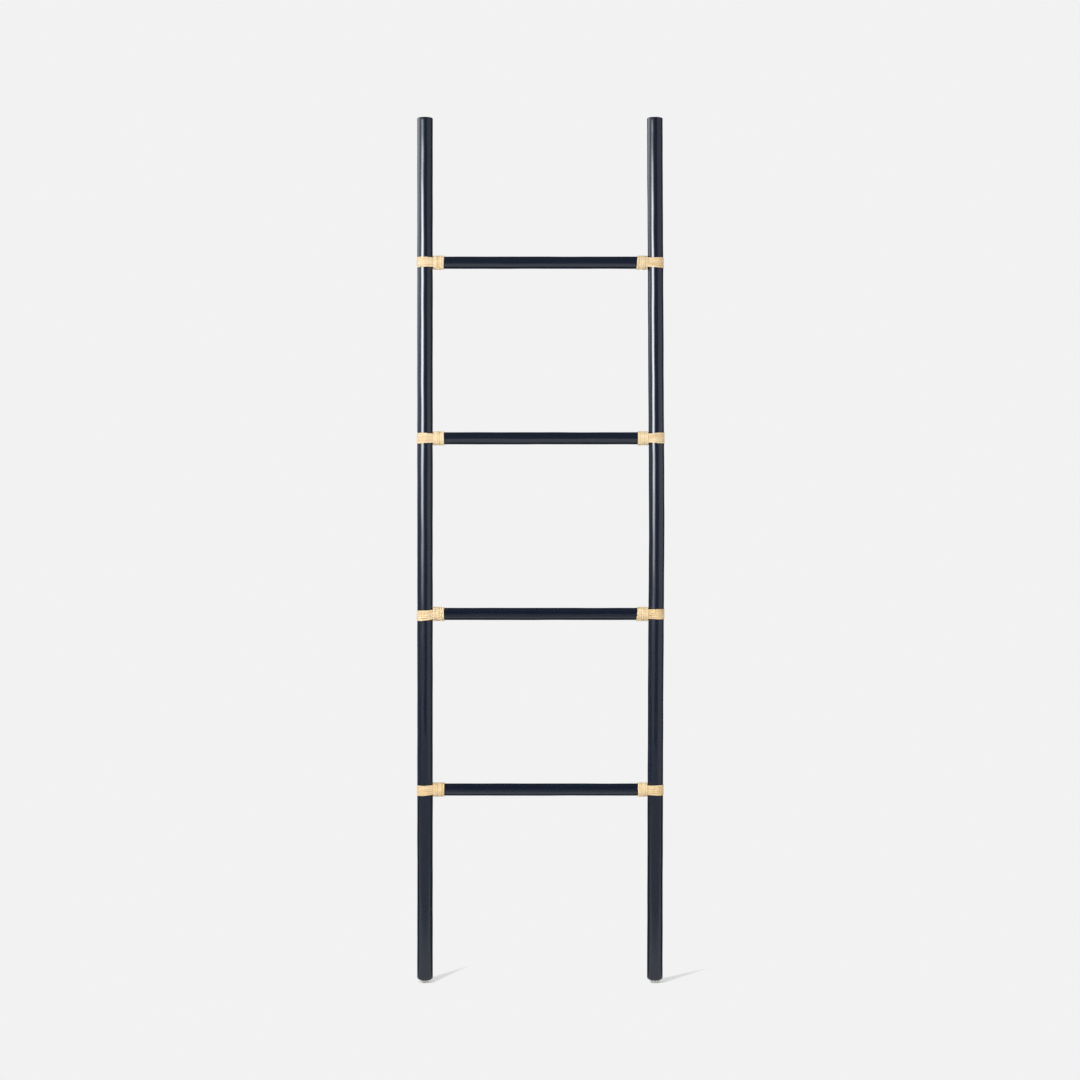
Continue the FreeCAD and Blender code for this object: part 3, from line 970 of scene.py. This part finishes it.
def make_dark_cards():
    """The dark of the studio in front, on the right, behind and above, and the floor as gloss sees it."""
    tall = {"low": 0.0, "high": STUDIO_HEIGHT}
    dark = dark_finish("studio_dark", DARK_STUDIO)
    gloss_card("dark_front", dark, standing_corners(5.0, STUDIO_DEPTH, width=5.6, **tall))
    gloss_card("dark_right", dark, standing_corners(105.0, distance=3.5, width=2.8, **tall))
    gloss_card("dark_roof", dark, level_corners(STUDIO_HALF, -STUDIO_DEPTH, STUDIO_DEPTH, STUDIO_HEIGHT))
    back = dark_finish("studio_back", DARK_BACK)
    gloss_card("dark_back", back, standing_corners(180.0, STUDIO_BACK, 2 * STUDIO_HALF, **tall))
    behind = dark_finish("studio_behind", DARK_BEHIND)
    gloss_card("dark_behind", behind, level_corners(STUDIO_HALF, CARD_CLEARANCE, STUDIO_BACK, CARD_LIFT))
    floor = glow_finish("floor_dark", CARD_GREY, base=0.5, peak=0.48,
                        rows=((0.86, 0.97),), columns=EASED_SIDES)
    gloss_card("dark_floor", floor, level_corners(STUDIO_HALF, -STUDIO_DEPTH, -CARD_CLEARANCE, CARD_LIFT))


def make_shelf_cards():
    """Shelf in front, light above and dark beneath, for the rungs: the stiles meet it edge on."""
    light = glow_finish("shelf_light", CARD_GREY, base=0.5, peak=0.6,
                        rows=((0.0, 0.6),), columns=EASED_SIDES)
    dark = dark_finish("shelf_dark", DARK_SHELF)
    for name, finish, height in (("shelf", light, CAMERA_HEIGHT),
                                 ("shelf_under", dark, CAMERA_HEIGHT - CARD_LIFT)):
        clear_edge_on(finish)
        gloss_card(name, finish, level_corners(SHELF_HALF, SHELF_FRONT, SHELF_BACK, height))


def make_camera():
    """Level camera in front of the rack, with a lens that gives the frame's width at the rack."""
    lens = bpy.data.cameras.new("camera")
    lens.sensor_width = 36.0
    lens.lens = lens.sensor_width * CAMERA_DISTANCE / FRAME_WIDTH
    camera = bpy.data.objects.new("camera", lens)
    camera.location = (CAMERA_SIDE, -CAMERA_DISTANCE, CAMERA_HEIGHT)
    camera.rotation_euler = (math.radians(90.0), 0.0, 0.0)
    bpy.context.scene.collection.objects.link(camera)
    bpy.context.scene.camera = camera


lacquer = lacquer_finish()
peel = peel_finish()
plastic = plastic_finish()
zinc = zinc_finish()

for side in SIDES:
    make_stile(side, lacquer)
    make_glide(side, plastic)
for name in RUNG_NAMES:
    make_rung(name, lacquer)
for side in SIDES:
    for name in RUNG_NAMES:
        make_strap(side, name, peel)
        make_collar(side, name, peel)
for node in ("joint_screws", "binding_tacks", "glide_nails"):
    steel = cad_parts[node]
    steel.data.materials.clear()
    steel.data.materials.append(zinc)

make_floor()
make_world()
make_lamp()
make_bright_cards()
make_dark_cards()
make_shelf_cards()
make_camera()
bpy.context.scene.view_settings.view_transform = "Standard"
